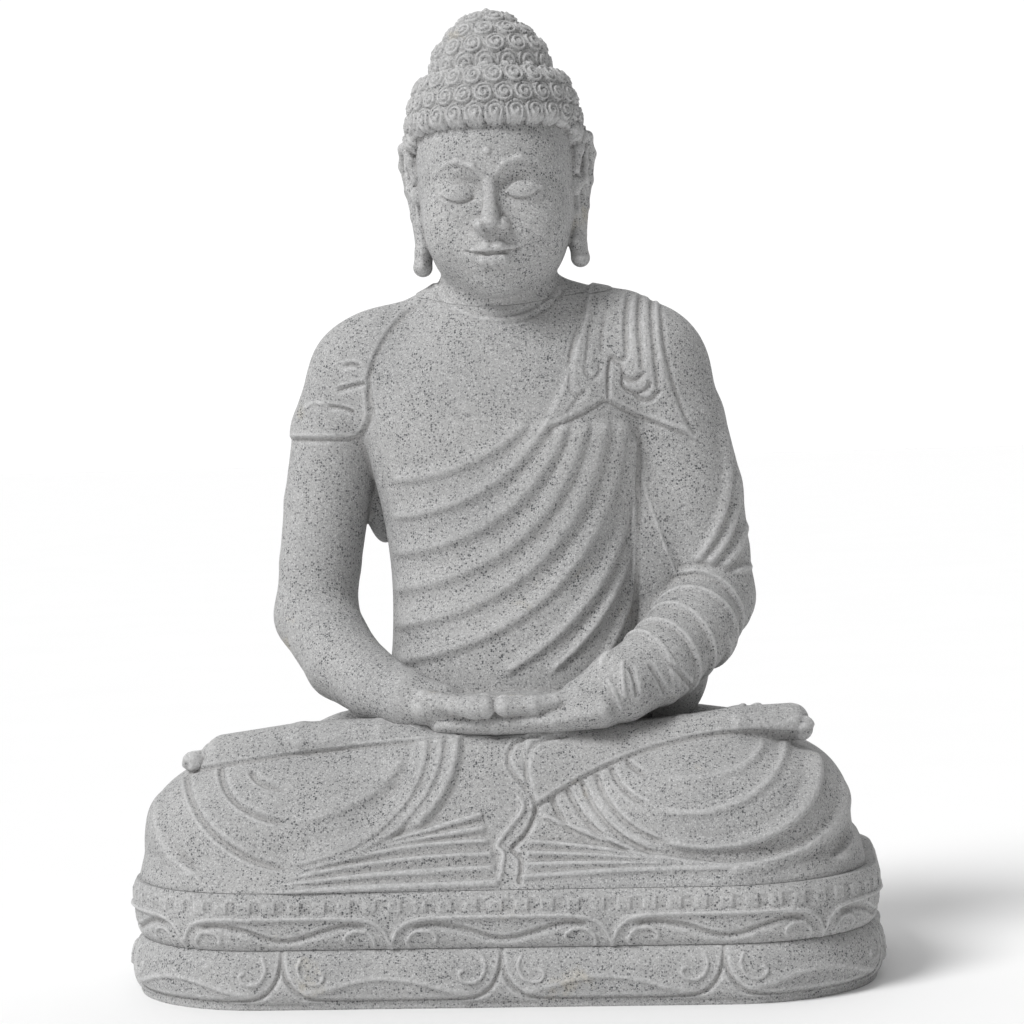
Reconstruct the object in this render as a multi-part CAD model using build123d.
"""Seated stone Buddha on a two-course lotus plinth, carved in sections and pinned together.

Frame: millimetres, +Z up, +X to the viewer's right, the figure faces -Y.
The origin is the centre of the underside of the plinth, on the floor.

From the floor up: a lower lotus course, an upper lotus course that is the seat, the crossed legs, the torso
with its arms and hands, and the head. Each pair of stones meets in a thin setting bed and is held by
stainless steel dowels in drilled holes.
"""

from build123d import *
import os

os.makedirs("parts", exist_ok=True)

# ---------------------------------------------------------------- driving dimensions
PLINTH_WIDTH = 738.0  # lower lotus course, side to side
PLINTH_DEPTH = 430.0  # lower lotus course, front to back
PLINTH_CORNER = 150.0  # corner radius of the plinth's outline
LOWER_COURSE_TOP = 55.0
UPPER_COURSE_TOP = 110.0
LAP_JOINT = 246.0  # top of the crossed legs
NECK_JOINT = 676.0  # height of the neck joint on the figure's axis
NECK_SLOPE = 17.0  # degrees that the neck joint falls towards the chin
TOTAL_HEIGHT = 960.0
BED = 2.0  # height of each setting bed
LOWER_BED_INSET = 24.0  # the bed under the upper course stops short of both courses' faces
SEAT_BED_INSET = 20.0
NECK_BED_RADIUS = 50.0
SKULL_CENTRE = (4.0, -4.0, 797.0)
SHOULDER_HEIGHT = 604.0
TORSO_SHIFT = 10.0  # the torso sits a little to the robed side

# fasteners: radius, length, and clearance all round for the setting resin
DOWEL_CLEARANCE = 1.0
PLINTH_DOWEL = (8.0, 60.0)
SEAT_DOWEL = (8.0, 70.0)
LAP_DOWEL = (10.0, 140.0)
NECK_DOWEL = (10.0, 160.0)
BASE_DOWEL_SPACING = (420.0, 200.0)
SEAT_DOWEL_SPACING = (360.0, 180.0)
LAP_DOWEL_SPACING = 130.0
LAP_DOWEL_Y = 25.0


# ---------------------------------------------------------------- shape helpers
def course_outline(inset):
    """The plinth's rounded outline, set in from its widest line by inset."""
    return RectangleRounded(PLINTH_WIDTH - 2 * inset, PLINTH_DEPTH - 2 * inset, PLINTH_CORNER - inset)


def course(profile):
    """A stone course: the plinth's outline at the heights and insets of profile, joined by ruled faces."""
    return loft([Pos(0, 0, z) * course_outline(inset) for z, inset in profile], ruled=True)


def ellipsoid(centre, radii, turn=(0, 0, 0)):
    """An ellipsoid with these semi-axes, turned about X, Y and Z in degrees."""
    return Pos(*centre) * Rot(*turn) * scale(Sphere(1.0), by=radii)


def stack(stations, ruled=False):
    """A standing form through elliptical sections of (x, y, z, half width, half depth)."""
    return loft([Pos(x, y, z) * Ellipse(a, b) for x, y, z, a, b in stations], ruled=ruled)


def upright(stations):
    """A standing round form through circles of (x, y, z, radius)."""
    return loft([Pos(x, y, z) * Circle(radius) for x, y, z, radius in stations], ruled=True)


def lying(stations):
    """A lying limb through ellipses of (x, y, z, half width, half height), square to its run."""
    points = [Vector(*station[:3]) for station in stations]
    sections = []
    for i, station in enumerate(stations):
        along = points[min(i + 1, len(points) - 1)] - points[max(i - 1, 0)]
        across = along.cross(Vector(0, 0, 1)).normalized()
        sections.append(Plane(points[i], x_dir=across, z_dir=along) * Ellipse(station[3], station[4]))
    return loft(sections, ruled=True)


def above(z, slope=0.0):
    """A block that holds everything above a joint at height z, which falls towards the front by slope."""
    size = 1200.0
    return Pos(0, 0, z) * Rot(slope, 0, 0) * Pos(0, 0, size / 2) * Box(size, size, size)


def below(z, slope=0.0):
    """A block that holds everything below such a joint."""
    size = 1200.0
    return Pos(0, 0, z) * Rot(slope, 0, 0) * Pos(0, 0, -size / 2) * Box(size, size, size)


def rods(places, z_middle, radius, length):
    """Upright round bars, one at each of places."""
    return [Pos(x, y, z_middle) * Cylinder(radius, length) for x, y in places]


def drilled(stone, places, z_middle, dowel):
    """The stone with a clearance hole for each dowel, a little deeper than the dowel is long."""
    for hole in rods(places, z_middle, dowel[0] + DOWEL_CLEARANCE, dowel[1] + 4):
        stone -= hole
    return stone


def corners(spacing):
    """The four corners of a centred rectangle."""
    x, y = spacing[0] / 2, spacing[1] / 2
    return [(-x, -y), (x, -y), (-x, y), (x, y)]


# ---------------------------------------------------------------- plinth
def lower_course():
    """The lower lotus course: a low ledge, then a swollen band of down-turned petals."""
    return course([(0, 7), (7, 7), (10, 4), (24, 0), (38, 1), (47, 5), (LOWER_COURSE_TOP, 13)])


def upper_course():
    """The upper lotus course: up-turned petals that flare to the row of stamens under the robe."""
    bottom = LOWER_COURSE_TOP + BED
    flare = [(bottom, 13), (bottom + 8, 7), (bottom + 19, 4), (bottom + 38, 3), (UPPER_COURSE_TOP, 7)]
    return course(flare)


# ---------------------------------------------------------------- figure
def legs_form():
    """Both folded legs, the hips behind them, the spread robe at their foot and the feet on the thighs."""
    form = course([(100, 5), (UPPER_COURSE_TOP + 14, 4), (145, 12), (168, 26), (185, 44), (198, 70)])
    form += ellipsoid((4, -84, 208), (178, 104, 66)) + ellipsoid((0, -20, 190), (190, 115, 66))
    for side in (-1, 1):
        form += ellipsoid((side * 238, -38, 170), (122, 126, 73))
        form += ellipsoid((side * 118, -78, 168), (170, 112, 70))
        form += ellipsoid((side * 80, 70, 185), (150, 108, 102))
        form += ellipsoid((side * 232, -52, 222), (84, 38, 28), (0, side * 6, side * 8))
    return form


def toes():
    """The toes of both feet, which stand on the thighs clear of the torso's stone."""
    return [ellipsoid((272, -74, 250), (34, 34, 30)), ellipsoid((-284, -74, 230), (34, 32, 20))]


def torso_form():
    """The trunk up to the neck, both shoulders and arms, the clasped hands and the robe beside the trunk."""
    s = TORSO_SHIFT
    form = stack(
        [
            (s, 18, 236, 138, 104),
            (s, 20, 320, 126, 92),
            (s, 18, 420, 124, 90),
            (s, 14, 520, 144, 96),
            (s, 14, 600, 160, 90),
            (s, 10, 650, 118, 72),
            (s, 6, 680, 66, 60),
            (SKULL_CENTRE[0], 4, 730, 55, 56),
        ]
    )
    form += ellipsoid((s - 116, 20, SHOULDER_HEIGHT - 4), (84, 66, 64), (0, -16, 0))
    form += ellipsoid((s + 116, 20, SHOULDER_HEIGHT), (94, 68, 66), (0, 16, 0))
    form += upright(
        [(-136, 24, 612, 50), (-158, 26, 540, 50), (-174, 24, 450, 45), (-182, 14, 372, 44), (-182, 8, 345, 39)]
    )
    form += upright(
        [(150, 24, 616, 54), (178, 26, 540, 56), (196, 24, 450, 53), (206, 12, 376, 52), (206, 6, 345, 48)]
    )
    form += lying(
        [
            (-186, 30, 372, 40, 42),
            (-166, -36, 330, 42, 41),
            (-124, -88, 298, 36, 34),
            (-74, -124, 280, 34, 28),
            (4, -138, 270, 46, 24),
            (88, -126, 280, 36, 32),
            (146, -88, 304, 42, 42),
            (188, -36, 334, 48, 46),
            (208, 32, 374, 46, 48),
        ]
    )
    form += ellipsoid((124, 24, 410), (68, 44, 150), (0, 6, 0))
    return form


def head_form():
    """The skull, jaw, neck, long ears and the crown of hair with its raised knot."""
    x, y, z = SKULL_CENTRE
    form = ellipsoid((x, y, z), (86, 98, 101))
    form += ellipsoid((x, y - 18, z - 42), (72, 78, 88))
    form += stack([(x, y + 10, 640, 58, 58), (x, y + 10, 690, 54, 55), (x, y + 10, 740, 54, 55)])
    knot = [(870, 64), (902, 60), (922, 51), (938, 37), (950, 20), (TOTAL_HEIGHT, 4)]
    form += loft([Pos(x, y + 8, height) * Circle(radius) for height, radius in knot], ruled=True)
    ear = [(690, 4, 6), (700, 11, 13), (716, 12, 14), (742, 10, 13), (785, 12, 20), (815, 11, 20), (829, 5, 9)]
    for side in (-1, 1):
        form += stack([(x + side * 85, y + 12, height, a, b) for height, a, b in ear], ruled=True)
    return form


# ---------------------------------------------------------------- sections, beds and dowels
def bed_between(form, joint, slope=0.0):
    """The setting bed in a joint: the form's own section, one bed thick, set in by a little."""
    return form & below(joint + BED, slope) & above(joint, slope)


base_places = corners(BASE_DOWEL_SPACING)
seat_places = corners(SEAT_DOWEL_SPACING)
lap_places = [(TORSO_SHIFT + side * LAP_DOWEL_SPACING / 2, LAP_DOWEL_Y) for side in (-1, 1)]
neck_places = [(SKULL_CENTRE[0], 4.0)]
base_z = LOWER_COURSE_TOP + BED / 2 - 6
seat_z = UPPER_COURSE_TOP + BED / 2 + 8
lap_z = LAP_JOINT + BED / 2
neck_z = NECK_JOINT + BED / 2

legs = legs_form()
torso = torso_form()
head = head_form()

seat_contact = Pos(0, 0, UPPER_COURSE_TOP) * extrude(course_outline(SEAT_BED_INSET), BED)
lower_contact = Pos(0, 0, LOWER_COURSE_TOP) * extrude(course_outline(LOWER_BED_INSET), BED)
neck_core = Pos(*neck_places[0], NECK_JOINT) * Cylinder(NECK_BED_RADIUS, 120)

nodes = {
    "lower_lotus_course": drilled(lower_course(), base_places, base_z, PLINTH_DOWEL),
    "lower_setting_bed": drilled(lower_contact, base_places, base_z, PLINTH_DOWEL),
    "plinth_dowels": Compound(children=rods(base_places, base_z, *PLINTH_DOWEL)),
    "upper_lotus_course": drilled(
        drilled(upper_course(), base_places, base_z, PLINTH_DOWEL), seat_places, seat_z, SEAT_DOWEL
    ),
    "seat_setting_bed": drilled(seat_contact, seat_places, seat_z, SEAT_DOWEL),
    "seat_dowels": Compound(children=rods(seat_places, seat_z, *SEAT_DOWEL)),
    "crossed_legs": drilled(
        drilled(
            (legs & below(LAP_JOINT) & above(UPPER_COURSE_TOP + BED)) + toes(), seat_places, seat_z, SEAT_DOWEL
        ),
        lap_places,
        lap_z,
        LAP_DOWEL,
    ),
    "lap_setting_bed": drilled(bed_between(torso, LAP_JOINT), lap_places, lap_z, LAP_DOWEL),
    "lap_dowels": Compound(children=rods(lap_places, lap_z, *LAP_DOWEL)),
    "torso_and_arms": drilled(
        drilled(
            torso & above(LAP_JOINT + BED) & below(NECK_JOINT, NECK_SLOPE), lap_places, lap_z, LAP_DOWEL
        ),
        neck_places,
        neck_z,
        NECK_DOWEL,
    ),
    "neck_setting_bed": drilled(
        bed_between(neck_core, NECK_JOINT, NECK_SLOPE), neck_places, neck_z, NECK_DOWEL
    ),
    "neck_dowel": rods(neck_places, neck_z, *NECK_DOWEL)[0],
    "head": drilled(head & above(NECK_JOINT + BED, NECK_SLOPE), neck_places, neck_z, NECK_DOWEL),
}

for name, shape in nodes.items():
    export_step(shape, f"parts/{name}.step")
